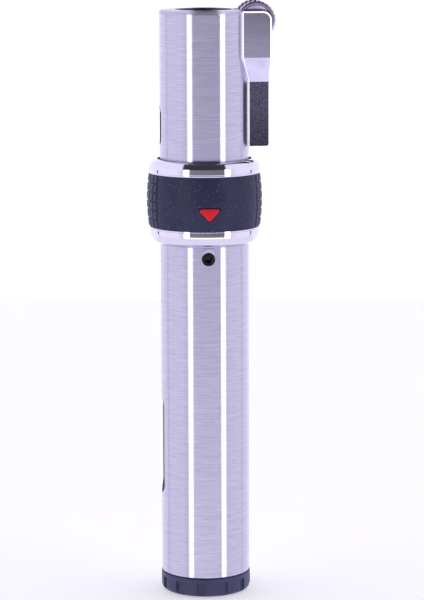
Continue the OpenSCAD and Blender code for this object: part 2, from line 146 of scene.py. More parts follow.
def brushed(name, colour, rough):
    """Steel brushed round the torch's axis: fine level lines that draw every highlight out along the axis."""
    mat, tree, shader = new_material(name)
    shader.inputs["Metallic"].default_value = 1.0
    shader.inputs["Anisotropic"].default_value = 1.0
    shader.inputs["Anisotropic Rotation"].default_value = 0.25
    tangent = tree.nodes.new("ShaderNodeTangent")
    tangent.direction_type = "RADIAL"
    tangent.axis = "Z"
    tree.links.new(tangent.outputs["Tangent"], shader.inputs["Tangent"])
    fine = stretched_noise(tree, (260, 260, 7500), 1.0, 3.0, 0.6)
    broad = stretched_noise(tree, (110, 110, 1500), 1.0, 2.0, 0.5)
    cloud = stretched_noise(tree, (60, 60, 60), 1.0, 3.0, 0.5)
    lines = mix_colour(tree, remap(tree, fine, 0.3, 0.7, 0, 1), scaled(colour, 0.86), scaled(colour, 1.1))
    bands = mix_colour(tree, remap(tree, broad, 0.35, 0.65, 0, 0.3), lines, scaled(colour, 0.9))
    tree.links.new(bands, shader.inputs["Base Color"])
    tree.links.new(remap(tree, cloud, 0.3, 0.7, rough * 0.95, rough * 1.05), shader.inputs["Roughness"])
    bump(tree, shader, fine, 0.000006)
    return mat


def painted_shade_metal(name, colour, rough, speckle):
    """Sheet steel given a dark, even colour with a fine speckle, which paints in shade."""
    mat, tree, shader = new_material(name)
    shader.inputs["Metallic"].default_value = 1.0
    fine = stretched_noise(tree, (1, 1, 1), 3600, 2.0, 0.6)
    dark, pale = scaled(colour, 1 - speckle), scaled(colour, 1 + speckle)
    shade = mix_colour(tree, remap(tree, fine, 0.35, 0.65, 0, 1), dark, pale)
    tree.links.new(shade, shader.inputs["Base Color"])
    shader.inputs["Roughness"].default_value = rough
    bump(tree, shader, fine, 0.000006, 0.5)
    return mat


def painted_glow_edge(name):
    """Filed edge of sheet steel with a painted glow: a near-white colour and an emission of its own make it
    look bright.
    """
    mat, tree, shader = new_material(name)
    shader.inputs["Metallic"].default_value = 0.2
    # painted glow: the edge gives off light, though it is no lamp
    shader.inputs["Emission Color"].default_value = (1, 1, 1, 1)
    shader.inputs["Emission Strength"].default_value = 0.6
    fine = stretched_noise(tree, (1, 1, 1), 900, 3.0)
    tree.links.new(mix_colour(tree, fine, (0.95, 0.94, 0.97), (1.0, 0.99, 1.0)), shader.inputs["Base Color"])
    shader.inputs["Roughness"].default_value = 0.4
    return mat


def turned_metal(name, colour, rough, wear=0.3):
    """Machined metal with faint tool marks and smudges."""
    mat, tree, shader = new_material(name)
    shader.inputs["Metallic"].default_value = 1.0
    marks = stretched_noise(tree, (300, 300, 6000), 1.0, 2.0, 0.6)
    smudge = stretched_noise(tree, (250, 250, 250), 1.0, 4.0, 0.6)
    worn = mix_colour(tree, remap(tree, smudge, 0.35, 0.7, 0, 1), colour, scaled(colour, 1 - wear))
    tree.links.new(worn, shader.inputs["Base Color"])
    tree.links.new(remap(tree, smudge, 0.3, 0.7, rough * 0.8, rough * 1.3), shader.inputs["Roughness"])
    bump(tree, shader, marks, 0.000003, 0.4)
    return mat


DUST = (0.20, 0.21, 0.34)


def moulded(name, colour, rough, grain=0.00002, speck=0.0, grain_scale=4000, gloss=0.5):
    """Moulded plastic or rubber: fine grain, a slight drift of colour and, where speck is above 0, dust."""
    mat, tree, shader = new_material(name)
    drift = stretched_noise(tree, (1, 1, 1), 180, 3.0)
    mottle = stretched_noise(tree, (1, 1, 1), 1300, 3.0)
    fine = stretched_noise(tree, (1, 1, 1), grain_scale, 3.0, 0.6)
    shade = mix_colour(tree, remap(tree, drift, 0.35, 0.65, 0, 1), scaled(colour, 0.88), scaled(colour, 1.12))
    shade = mix_colour(tree, remap(tree, mottle, 0.4, 0.7, 0, 0.35), shade, scaled(colour, 1.5))
    if speck > 0:
        dust = stretched_noise(tree, (1, 1, 1), 2600, 1.0, 0.5)
        shade = mix_colour(tree, remap(tree, dust, 0.67, 0.75, 0, speck), shade, DUST)
    tree.links.new(shade, shader.inputs["Base Color"])
    tree.links.new(remap(tree, drift, 0.3, 0.7, rough * 0.9, rough * 1.1), shader.inputs["Roughness"])
    shader.inputs["Specular IOR Level"].default_value = gloss
    bump(tree, shader, fine, grain, 0.6)
    return mat


def clear_plastic(name, colour, rough, transmission):
    """Clear or smoked moulded plastic."""
    mat, tree, shader = new_material(name)
    drift = stretched_noise(tree, (1, 1, 1), 120, 3.0)
    shade = mix_colour(tree, remap(tree, drift, 0.3, 0.7, 0, 1), colour, scaled(colour, 0.92))
    tree.links.new(shade, shader.inputs["Base Color"])
    tree.links.new(remap(tree, drift, 0.3, 0.7, rough, rough * 1.5), shader.inputs["Roughness"])
    shader.inputs["Transmission Weight"].default_value = transmission
    shader.inputs["IOR"].default_value = 1.45
    bump(tree, shader, drift, 0.00002, 0.3)
    return mat


STEEL = (0.565, 0.545, 0.69)
MATERIALS = {
    "tube_steel": brushed("tube_steel", STEEL, 0.24),
    # painted highlight: a lighter, rougher copy of the tube's steel for the cap's upward faces by the rim
    "rim_steel_painted_highlight": brushed("rim_steel_painted_highlight", scaled(STEEL, 1.45), 0.6),
    "striker_steel": brushed("striker_steel", scaled(STEEL, 0.55), 0.28),
    # painted shade: a far darker copy of the housing's steel for its lower cheek
    "striker_lower_painted_shade": painted_shade_metal("striker_lower_painted_shade", (0.069, 0.066, 0.098), 0.38, 0.5),
    # painted highlight: a lighter copy of the housing's steel for its slope
    "striker_slope_painted_highlight": turned_metal("striker_slope_painted_highlight", (0.59, 0.57, 0.73), 0.35, 0.04),
    # painted shade: dark steel for the cap's inner and downward faces
    "painted_shade_inside": turned_metal("painted_shade_inside", (0.10, 0.09, 0.11), 0.45),
    # painted glow on the housing's filed rim
    "striker_edge_painted_glow": painted_glow_edge("striker_edge_painted_glow"),
    "wheel_steel": turned_metal("wheel_steel", (0.58, 0.52, 0.70), 0.27, 0.45),
    "bezel_chrome": turned_metal("bezel_chrome", (0.76, 0.74, 0.86), 0.05, 0.04),
    "grip_rubber": moulded("grip_rubber", (0.026, 0.028, 0.074), 0.42, 0.00003, 0.5, gloss=0.22),
    "arrow_red": moulded("arrow_red", (0.70, 0.016, 0.022), 0.4, 0.000008, 0.0, 2500, 0.25),
    "base_plastic": moulded("base_plastic", (0.050, 0.053, 0.125), 0.45, 0.000015, 0.08, 3000, 0.3),
    "inner_plastic": moulded("inner_plastic", (0.06, 0.06, 0.07), 0.5),
    "tank_plastic": clear_plastic("tank_plastic", (0.85, 0.88, 0.95), 0.08, 0.9),
    "window_plastic": clear_plastic("window_plastic", (0.16, 0.16, 0.20), 0.06, 0.85),
    "seal_rubber": moulded("seal_rubber", (0.012, 0.012, 0.013), 0.45),
    "gasket": moulded("gasket", (0.30, 0.06, 0.04), 0.6),
    "brass": turned_metal("brass", (0.78, 0.58, 0.28), 0.22),
    "alloy": turned_metal("alloy", (0.70, 0.70, 0.73), 0.28),
    "steel": turned_metal("steel", (0.56, 0.55, 0.58), 0.24),
    "black_steel": turned_metal("black_steel", (0.045, 0.045, 0.06), 0.35),
    "spring_steel": turned_metal("spring_steel", (0.62, 0.62, 0.65), 0.2),
    "file_steel": turned_metal("file_steel", (0.20, 0.19, 0.22), 0.42),
    "flint_alloy": turned_metal("flint_alloy", (0.13, 0.13, 0.14), 0.6),
    "flow_felt": moulded("flow_felt", (0.55, 0.50, 0.36), 0.9, 0.0001),
}


# ---------------------------------------------------------------- outlines

def arc(cx, cy, radius, start, end, steps=6):
    """Points of an arc, with angles in degrees."""
    angles = (math.radians(start + (end - start) * k / steps) for k in range(steps + 1))
    return [(cx + radius * math.cos(a), cy + radius * math.sin(a)) for a in angles]


def soften(corners, steps=4):
    """A closed outline from corners (x, y, radius): each corner is rounded to its radius."""
    points = []
    for i, (x, y, radius) in enumerate(corners):
        corner = Vector((x, y))
        if radius == 0:
            points.append((x, y))
            continue
        back = (Vector(corners[i - 1][:2]) - corner).normalized()
        ahead = (Vector(corners[(i + 1) % len(corners)][:2]) - corner).normalized()
        half = back.angle(ahead) / 2
        centre = corner + (back + ahead).normalized() * radius / math.sin(half)
        first = corner + back * radius / math.tan(half) - centre
        last = corner + ahead * radius / math.tan(half) - centre
        for k in range(steps + 1):
            points.append(tuple(centre + first.slerp(last, k / steps).normalized() * radius))
    return points


# ---------------------------------------------------------------- meshes

def lathe(outline, sides=SIDES):
    """Turns a closed outline of (radius, z) points about Z."""
    mesh = bmesh.new()
    rings = []
    for radius, z in outline:
        count = 1 if radius < 1e-6 else sides
        angles = (2 * math.pi * k / count for k in range(count))
        rings.append([mesh.verts.new((radius * math.cos(a), radius * math.sin(a), z)) for a in angles])
    for ring, above in zip(rings, rings[1:] + rings[:1]):
        if len(ring) == len(above) == 1:
            continue
        for k in range(sides):
            corners = [ring[k % len(ring)], ring[(k + 1) % len(ring)],
                       above[(k + 1) % len(above)], above[k % len(above)]]
            mesh.faces.new(dict.fromkeys(corners))
    bmesh.ops.recalc_face_normals(mesh, faces=mesh.faces)
    return mesh


def bridge(mesh, rings, following):
    """Joins each ring to the one that follows it with quads; all have as many points."""
    for ring, after in zip(rings, following):
        for k in range(len(ring)):
            j = (k + 1) % len(ring)
            mesh.faces.new((ring[k], ring[j], after[j], after[k]))


def prism(outline, start, end):
    """A closed outline in X and Y, drawn up along Z from start to end."""
    mesh = bmesh.new()
    bottom = [mesh.verts.new((x, y, start)) for x, y in outline]
    top = [mesh.verts.new((x, y, end)) for x, y in outline]
    mesh.faces.new(bottom[::-1])
    mesh.faces.new(top)
    for i, vert in enumerate(bottom):
        j = (i + 1) % len(bottom)
        mesh.faces.new((vert, bottom[j], top[j], top[i]))
    bmesh.ops.recalc_face_normals(mesh, faces=mesh.faces)
    return mesh


def rod(radius, start, end, sides=64):
    """A plain cylinder about Z, used as a cutter."""
    return prism(arc(0, 0, radius, 0, 360 * (sides - 1) / sides, sides - 1), start, end)


# local axes (x, y, z) of an outline, as columns: along +X, from -Y, and as drawn
ALONG_X = Matrix(((0, 0, 1), (1, 0, 0), (0, 1, 0))).to_4x4()
ALONG_Y = Matrix(((1, 0, 0), (0, 0, 1), (0, -1, 0))).to_4x4()
FROM_FRONT = Matrix(((1, 0, 0), (0, 0, -1), (0, 1, 0))).to_4x4()


def placed(mesh, matrix=Matrix(), offset=(0, 0, 0)):
    """Turns a mesh by a matrix, then moves it by an offset in mm."""
    bmesh.ops.transform(mesh, matrix=Matrix.Translation(offset) @ matrix, verts=mesh.verts)
    return mesh


def joined(*meshes):
    """One mesh that holds several."""
    whole = bmesh.new()
    for mesh in meshes:
        scratch = bpy.data.meshes.new("scratch")
        mesh.to_mesh(scratch)
        mesh.free()
        whole.from_mesh(scratch)
        bpy.data.meshes.remove(scratch)
    return whole


def to_object(mesh, name):
    """Makes an object of a mesh in mm, at its real size."""
    bmesh.ops.scale(mesh, vec=(MM, MM, MM), verts=mesh.verts)
    data = bpy.data.meshes.new(name)
    mesh.to_mesh(data)
    mesh.free()
    obj = bpy.data.objects.new(name, data)
    bpy.context.scene.collection.objects.link(obj)
    return obj


def taken_back(*objects):
    """One mesh in mm that holds what the objects held; the objects are removed."""
    whole = bmesh.new()
    for obj in objects:
        whole.from_mesh(obj.data)
        bpy.data.objects.remove(obj)
    bmesh.ops.scale(whole, vec=(1 / MM,) * 3, verts=whole.verts)
    return whole


def bake_modifiers(obj):
    """Applies an object's modifiers to its mesh."""
    graph = bpy.context.evaluated_depsgraph_get()
    graph.update()
    old = obj.data
    obj.data = bpy.data.meshes.new_from_object(obj.evaluated_get(graph))
    obj.data.name = obj.name
    obj.modifiers.clear()
    bpy.data.meshes.remove(old)


def carve(obj, *cutters, operation="DIFFERENCE"):
    """Cuts meshes in mm out of an object."""
    for cutter in cutters:
        tool = to_object(cutter, "cutter")
        step = obj.modifiers.new("carve", "BOOLEAN")
        step.operation = operation
        step.solver = "EXACT"
        step.object = tool
        bake_modifiers(obj)
        bpy.data.objects.remove(tool)
    return obj


WELD = 0.004             # points nearer than this become one before edges are rounded


def soft_edges(obj, width, angle=32, segments=2):
    """Rounds the edges that are sharper than an angle."""
    weld = obj.modifiers.new("weld", "WELD")
    weld.merge_threshold = WELD * MM
    step = obj.modifiers.new("soft_edges", "BEVEL")
    step.width = width * MM
    step.segments = segments
    step.limit_method = "ANGLE"
    step.angle_limit = math.radians(angle)
    step.use_clamp_overlap = True
    bake_modifiers(obj)


STOOD_FOR = set()        # the CAD nodes that pieces replace


def piece(obj, body, slot, replaces, material=None):
    """Gives a finished object its smooth shading, its material (the one named for its record slot, unless
    another is named) and its body, and hides its CAD nodes.
    """
    obj.data.materials.clear()
    obj.data.materials.append(MATERIALS[material or slot])
    obj.data.shade_smooth()
    obj.data.set_sharp_from_angle(angle=CREASE)
    flat = obj.modifiers.new("flat_faces", "WEIGHTED_NORMAL")
    flat.keep_sharp = True
    bake_modifiers(obj)
    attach(obj, body)
    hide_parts(*replaces)
    STOOD_FOR.update(replaces)
    return obj


# ---------------------------------------------------------------- tubes

def obround(width, start, end, steps=16):
    """An upright slot's outline across X and Y, between two heights."""
    r = width / 2
    return arc(0, end - r, r, 0, 180, steps) + arc(0, start + r, r, 180, 360, steps)


def slot_cutter(width, start, end):
    """A cutter for an upright slot in the -X side of a tube."""
    return placed(prism(obround(width, start, end), -20, 0), ALONG_X)


TUBE_R = high("tank_tube").x
WALL = 0.7
BORE_R = TUBE_R - WALL
PANE_T = 0.5             # thickness of the window's pane
PANE_GAP = 0.03          # gap round the pane in the tube's slot
SCREW_R = 1.45
SCREW_HOLE_R = 1.5
MOUTH_R = 6.35           # radius of the cap's flame mouth
CAP_PLATE = 0.8          # thickness of the cap's end
CAP_RIM = 1.0            # radius of the cap's rounded rim
AIR_SLOT_W = 4.0
AIR_SLOT_Z = (101.9, 110.8)
NOTCH_X, NOTCH_HALF, NOTCH_Z = 7.05, 4.75, 124.8    # the cap's notch: inner face, half width, lower edge


def tank_tube():
    """Brushed outer tube with the slot for its window and the set screw's hole."""
    base, top = low("tank_tube").z, high("tank_tube").z
    window_low, window_high = low("sight_window"), high("sight_window")
    screw = (low("set_screw") + high("set_screw")) / 2
    wall = soften([(BORE_R, base, 0.1), (TUBE_R, base, 0.15), (TUBE_R, top, 0.12), (BORE_R, top, 0.1)])
    shell = to_object(lathe(wall), "tank_tube_skin")
    slot_w = window_high.y - window_low.y + 2 * PANE_GAP
    hole = placed(rod(SCREW_HOLE_R, TUBE_R / 2, TUBE_R * 1.5), FROM_FRONT, (0, 0, screw.z))
    carve(shell, slot_cutter(slot_w, window_low.z - PANE_GAP, window_high.z + PANE_GAP), hole)
    soft_edges(shell, 0.09)
    piece(shell, "body", "tube_steel", ["tank_tube"])


def sight_window():
    """Smoked window: a curved pane sunk under the tube's slot."""
    corner_low, corner_high = low("sight_window"), high("sight_window")
    outer_r = -corner_low.x
    width = corner_high.y - corner_low.y
    pane = to_object(placed(prism(obround(width, corner_low.z, corner_high.z), -outer_r - 1, -outer_r + 2),
                            ALONG_X), "window_pane")
    start, end = corner_low.z - 2, corner_high.z + 2
    carve(pane, rod(outer_r, start, end, 256), operation="INTERSECT")
    carve(pane, rod(outer_r - PANE_T, start, end, 256))
    soft_edges(pane, 0.1)
    piece(pane, "body", "window_plastic", ["sight_window"])


def cap():
    """Brushed cap with a rounded rim, a flame mouth, an air slot and a notch for the flint wheel."""
    base, top = low("cap_tube").z, high("cap_tube").z
    plate = top - CAP_PLATE
    shell = to_object(lathe(soften([
        (BORE_R, base, 0.1), (TUBE_R, base, 0.15), (TUBE_R, top, CAP_RIM), (MOUTH_R, top, 0.2),
        (MOUTH_R, plate, 0.1), (BORE_R, plate, 0.4)], 8)), "cap_skin")
    outside = TUBE_R + 2
    notch = soften([(NOTCH_X, -NOTCH_HALF, 0.3), (outside, -NOTCH_HALF, 0), (outside, NOTCH_HALF, 0),
                    (NOTCH_X, NOTCH_HALF, 0.3)])
    carve(shell, slot_cutter(AIR_SLOT_W, *AIR_SLOT_Z), prism(notch, NOTCH_Z, top + 3))
    soft_edges(shell, 0.08)
    skin = piece(shell, "cap", "tube_steel", ["cap_tube"])
    # the cap's inner and downward faces take dark steel as painted shade; its upward faces by the rim take a
    # lighter copy of the steel as a painted highlight
    for name in ("painted_shade_inside", "rim_steel_painted_highlight"):
        skin.data.materials.append(MATERIALS[name])
    for face in skin.data.polygons:
        spot, normal = face.center, face.normal
        inward = spot.xy.dot(normal.xy) < -0.2 * spot.xy.length
        if inward or (normal.z < -0.7 and spot.z / MM > base + 1):
            face.material_index = 1
        elif normal.z > 0.12 and spot.z / MM > top - 1.2 * CAP_RIM:
            face.material_index = 2


# ---------------------------------------------------------------- grip ring

CORE_R = 11.43           # radius of the moulded core that carries the rubber and the bezels


def bezels():
    """The two polished rings, each with a thin lip against the rubber and a rounded shoulder."""
    base, top = low("lower_bezel").z, high("lower_bezel").z
    widest = high("lower_bezel").x
    inner = 10.12
    lower = lathe(soften([
        (inner, base, 0.15), (10.75, base, 0.3), (11.75, base + 0.55, 1.2), (widest, base + 2.0, 1.5),
        (widest, top - 0.42, 0.12), (widest - 0.14, top - 0.36, 0.04), (widest - 0.14, top - 0.28, 0.04),
        (widest - 0.04, top - 0.22, 0.06), (widest - 0.06, top, 0.08),
        (CORE_R, top, 0), (CORE_R, base + 0.87, 0),
        (inner, base + 0.87, 0.1)], 6), 256)
    obj = to_object(lower, "bezel_lower_ring")
    piece(obj, "ring", "bezel_chrome", ["lower_bezel"])
    base, top = low("upper_bezel").z, high("upper_bezel").z
    widest = high("upper_bezel").x
    inner, flange = 10.72, 96.13
    upper = lathe(soften([
        (CORE_R, base, 0), (widest - 0.12, base, 0.08), (widest - 0.02, base + 0.22, 0.06),
        (widest - 0.1, base + 0.3, 0.04), (widest - 0.1, base + 0.38, 0.04), (widest, base + 0.45, 0.1),
        (widest, top, 1.95), (inner, top, 0.18), (inner, flange, 0.08), (CORE_R, flange, 0)], 10), 256)
    obj = to_object(upper, "bezel_upper_ring")
    piece(obj, "ring", "bezel_chrome", ["upper_bezel"])


def smooth_step(edge0, edge1, value):
    """0 below edge0, 1 above edge1, and smooth between them."""
    t = min(1.0, max(0.0, (value - edge0) / (edge1 - edge0)))
    return t * t * (3 - 2 * t)


PAD_ROWS = 6
PAD_COLUMNS = 44         # if they went all the way round
PLAIN_HALF = 60.0        # degrees either side of the arrow that have no pads
GROOVE = 0.34            # depth of the grooves between pads
CROWN = 0.04             # how much a pad is domed


def grip_radius(angle, height, mid_r, end_r):
    """Outer radius of the rubber at an angle from the arrow (degrees) and a height from 0 to 1."""
    barrel = end_r + (mid_r - end_r) * (1 - (2 * height - 1) ** 2)
    away = abs((angle + 180) % 360 - 180)
    turns = (away - PLAIN_HALF) / 360 * PAD_COLUMNS
    if turns < 0:
        edge = smooth_step(0.0, 0.16, -turns)
        return barrel - CROWN - GROOVE * (1 - edge)
    across = abs((turns % 1) - 0.5) * 2
    rows = height * PAD_ROWS
    up = abs((rows % 1) - 0.5) * 2
    flat = (1 - smooth_step(0.74, 0.96, across)) * (1 - smooth_step(0.74, 0.96, up))
    crown = CROWN * (across * across + up * up) * flat
    return barrel - GROOVE * (1 - flat) - crown


def grip():
    """The rubber sleeve: a barrel with square pads round the sides and back and a plain field in front."""
    base, top = low("grip_sleeve").z, high("grip_sleeve").z
    mid_r, end_r = high("grip_sleeve").x, 12.5
    columns, rows = PAD_COLUMNS * 14, PAD_ROWS * 12
    mesh = bmesh.new()
    grid = []
    for row in range(rows + 1):
        height = row / rows
        z = base + (top - base) * height
        ring = []
        for column in range(columns):
            angle = 360 * column / columns
            r = min(grip_radius(angle, height, mid_r, end_r), mid_r)
            turn = math.radians(angle - 90)
            ring.append(mesh.verts.new((r * math.cos(turn), r * math.sin(turn), z)))
        grid.append(ring)
    for z in (top, base):
        turns = (math.radians(360 * column / columns - 90) for column in range(columns))
        grid.append([mesh.verts.new((CORE_R * math.cos(turn), CORE_R * math.sin(turn), z)) for turn in turns])
    bridge(mesh, grid, grid[1:] + grid[:1])
    bmesh.ops.recalc_face_normals(mesh, faces=mesh.faces)
    sleeve = to_object(mesh, "grip_rubber_sleeve")
    carve(sleeve, placed(prism(arrow_outline(ARROW_GAP), *ARROW_DEPTH), FROM_FRONT))
    piece(sleeve, "ring", "grip_rubber", ["grip_sleeve"])


ARROW_GAP = 0.26         # width of the groove round the arrow
ARROW_DEPTH = (12.3, 14)  # from the inlay's back to a place clear of the rubber


def arrow_outline(grow):
    """The red arrow's outline in X and Z, grown by a margin; its corners lie outside the rounded ones."""
    corner_low, corner_high = low("arrow_mark"), high("arrow_mark")
    half = (corner_high.x - corner_low.x) / 2 + 0.5 + grow
    tip = corner_low.z - 0.21 - grow
    top = corner_high.z + grow
    return soften([(-half, top, 0.4), (0, tip, 0.4), (half, top, 0.4)], 8)


def arrow():
    """Red inlay that follows the barrel, with a rounded rim."""
    inlay = to_object(placed(prism(arrow_outline(0), *ARROW_DEPTH), FROM_FRONT), "arrow_inlay")
    reach = -low("arrow_mark").y
    carve(inlay, rod(reach, 80, 96, 720), operation="INTERSECT")
    soft_edges(inlay, 0.1, 40, 3)
    piece(inlay, "ring", "arrow_red", ["arrow_mark"])


def set_screw():
    """M3 grub screw with a chamfered rim and a hexagon socket."""
    centre = (low("set_screw") + high("set_screw")) / 2
    face, back = -low("set_screw").y, -high("set_screw").y
    outline = soften([(0, back, 0), (SCREW_R, back, 0.1), (SCREW_R, face - 0.25, 0.05),
                      (SCREW_R - 0.22, face, 0.05), (0, face, 0)])
    body = placed(lathe(outline, 64), FROM_FRONT, (0, 0, centre.z))
    screw = to_object(body, "socket_screw")
    socket = placed(prism(arc(0, 0, 0.87, 0, 300, 5), face - 1.5, face + 1), FROM_FRONT, (0, 0, centre.z))
    flare = placed(lathe([(0, face - 0.35), (0.72, face - 0.35), (1.12, face + 0.05), (0, face + 0.05)], 48),
                   FROM_FRONT, (0, 0, centre.z))
    carve(screw, socket, flare)
    soft_edges(screw, 0.03)
    piece(screw, "body", "black_steel", ["set_screw"])


# ---------------------------------------------------------------- foot

RECESSES = 12
RECESS_SHIFT = 0.37      # how far the recesses are turned from the axes, in pitches


def foot():
    """The flow knob: rounded foot with finger recesses, port in the middle and a skirt inside the tube."""
    node = "base_knob"
    wide = high(node).x
    rim_z, skirt_z, dog_z = 4.3, 6.4, high(node).z
    port_r, port_depth, hub = 3.2, 2.8, 3.65
    knob = to_object(lathe(soften([
        (port_r, 0, 0.25), (wide, 0, 1.2), (wide, rim_z, 0.18), (8.2, rim_z, 0), (8.2, skirt_z, 0.1),
        (7.0, skirt_z, 0.1), (7.0, rim_z, 0), (hub, rim_z, 0.08), (hub, port_depth, 0),
        (port_r, port_depth, 0.08)], 6), 256), "flow_knob")
    cuts = []
    for k in range(RECESSES):
        turn = Matrix.Rotation(math.radians((k - RECESS_SHIFT) * 360 / RECESSES), 4, "Z")
        notch = placed(prism(soften([(wide - 0.5, -0.9, 0.12), (wide + 1, -1, 0), (wide + 1, 1, 0),
                                     (wide - 0.5, 0.9, 0.12)]), -1, 3.3), turn)
        cuts.append(notch)
    snap = lathe([(7.85, 5.1), (8.5, 5.1), (8.5, 5.9), (7.85, 5.9)], 128)
    carve(knob, joined(*cuts), snap)
    dogs = []
    for side in (0, 180):
        outline = arc(0, 0, 5.4, side - 14, side + 14, 8) + arc(0, 0, 4.2, side + 14, side - 14, 8)
        dogs.append(prism(outline, rim_z - 0.3, dog_z))
    carve(knob, joined(*dogs), operation="UNION")
    soft_edges(knob, 0.07)
    piece(knob, "knob", "base_plastic", ["base_knob"])


# ---------------------------------------------------------------- striker

HOUSING_X = high("striker_housing").x
HOUSING_W = high("striker_housing").y
TAIL_W = 3.0             # half width of the housing's lower part
HOUSING_Z0, HOUSING_Z1 = low("striker_housing").z, high("striker_housing").z
SLOPE_Z0, SLOPE_Z1 = 116.1, 121.6    # the housing's two creases
SHEET = 0.7
AXLE = Vector((11.3, 0, 129.7))
AXLE_HOLE_R = 0.85


def housing_front(inset, base, top):
    """The housing's outline across Y and Z."""
    w, s = HOUSING_W - inset, TAIL_W - inset
    right = [(s, base), (s, SLOPE_Z0), (w, SLOPE_Z1), (w, top)]
    return [(-s, base), *right, *((-y, z) for y, z in right[:0:-1])]


RIM_W = 0.37             # filed rim round the housing's two cheeks, made bright by a painted glow
RIM_HIDDEN = 0.14        # how much of it the tube hides
THUMB_Z = 125.2          # where the opening for the thumb starts
FLINT_X = 11.95          # axis of the flint screw's hole


def file_rim(obj):
    """Chamfers the outline of the housing's cheeks, but not the creases where they slope."""
    mesh = bmesh.new()
    mesh.from_mesh(obj.data)
    bmesh.ops.dissolve_limit(mesh, angle_limit=math.radians(1), verts=mesh.verts, edges=mesh.edges)
    mesh.normal_update()
    outline = [e for e in mesh.edges if sum(abs(f.normal.y) > 0.5 for f in e.link_faces) == 1]
    bmesh.ops.bevel(mesh, geom=outline, offset=RIM_W * MM, offset_type="OFFSET", segments=1, profile=0.5,
                    affect="EDGES", clamp_overlap=False)
    mesh.to_mesh(obj.data)
    mesh.free()


def housing_material(normal, height):
    """Material slot of a housing face: 0 brushed, 1 lower cheek in painted shade, 2 rim with a painted glow,
    3 slope with a painted highlight.
    """
    facing = abs(normal.y)
    if 0.35 < facing < 0.8:
        return 2
    if facing > 0.98:
        return 1 if height < SLOPE_Z0 else 0
    return 3 if facing > 0.8 else 0


def against_tube(half_width):
    """Where the chamfer of a cheek has to start in X, for part of it to show beside the tube."""
    return math.sqrt(TUBE_R ** 2 - (half_width - RIM_W) ** 2) - RIM_HIDDEN


def striker_housing():
    """Bent sheet housing: wide round the wheel, narrow round the flint tube, with a filed rim. The rim has a
    painted glow, the slope a painted highlight and the lower cheek painted shade.
    """
    front = housing_front(0, HOUSING_Z0, HOUSING_Z1)
    block = to_object(placed(prism(front, 6, 20), ALONG_X), "striker_shell")
    near, far = against_tube(HOUSING_W), against_tube(TAIL_W)
    side = soften([(far, HOUSING_Z0, 0), (HOUSING_X, HOUSING_Z0, 0.9), (HOUSING_X, HOUSING_Z1, 2.0),
                   (near, HOUSING_Z1, 0), (near, SLOPE_Z1, 0), (far, SLOPE_Z0, 0)], 10)
    carve(block, placed(prism(side, -10, 10), FROM_FRONT), operation="INTERSECT")
    file_rim(block)
    inside = housing_front(SHEET, HOUSING_Z0 + SHEET, HOUSING_Z1 + 5)
    hollow = placed(prism(inside, 5, HOUSING_X - SHEET), ALONG_X)
    back, out, w = HOUSING_X - SHEET - 1, HOUSING_X + 3, HOUSING_W - SHEET
    thumb = prism([(back, -w), (out, -w), (out, w), (back, w)], THUMB_Z, 140)
    screw_hole = placed(rod(1.95, HOUSING_Z0 - 1, HOUSING_Z0 + 2, 48), offset=(FLINT_X, 0, 0))
    axle_seats = placed(rod(0.82, -5.95, 5.95, 48), ALONG_Y, AXLE)
    tube = rod(TUBE_R + 0.02, HOUSING_Z0 - 1, HOUSING_Z1 + 1, 256)
    carve(block, tube, hollow, thumb, screw_hole, axle_seats)
    soft_edges(block, 0.04, 40, 2)
    shell = piece(block, "cap", "striker_steel", ["striker_housing"])
    # painted shade on the lower cheek, painted glow on the rim and painted highlight on the slope
    for name in ("striker_lower_painted_shade", "striker_edge_painted_glow", "striker_slope_painted_highlight"):
        shell.data.materials.append(MATERIALS[name])
    for face in shell.data.polygons:
        face.material_index = housing_material(face.normal, face.center.z / MM)


def fluted(radius, depth, flutes, start, end, steps=10):
    """A wheel with a wavy rim, drawn along Z."""
    outline = []
    for k in range(flutes * steps):
        r = radius - depth * (0.5 - 0.5 * math.cos(2 * math.pi * k / steps))
        a = 2 * math.pi * k / (flutes * steps)
        outline.append((r * math.cos(a), r * math.sin(a)))
    return prism(outline, start, end)


def spark_wheel():
    """File-cut wheel: slanted teeth between the thumb discs."""
    r, half, teeth = 3.7, 2.25, 40
    tooth_radii = (r - 0.3, r - 0.22, r, r - 0.1)
    slant = 0.9              # lean of the teeth, in teeth, over the wheel's width; it turns back halfway
    rows = 9
    mesh = bmesh.new()
    rings = []
    for row in range(rows):
        z = -half + 2 * half * row / (rows - 1)
        ring = []
        for k in range(teeth * 4):
            radius = tooth_radii[k % 4]
            a = 2 * math.pi * (k / 4 + slant * abs(row / (rows - 1) - 0.5)) / teeth
            ring.append(mesh.verts.new((radius * math.cos(a), radius * math.sin(a), z)))
        rings.append(ring)
    bridge(mesh, rings, rings[1:])
    mesh.faces.new(rings[0][::-1])
    mesh.faces.new(rings[-1])
    bmesh.ops.recalc_face_normals(mesh, faces=mesh.faces)
    wheel = to_object(placed(mesh, ALONG_Y, AXLE), "file_wheel")
    carve(wheel, placed(rod(AXLE_HOLE_R, -4, 4, 48), ALONG_Y, AXLE))
    piece(wheel, "wheel", "file_steel", ["spark_wheel"])


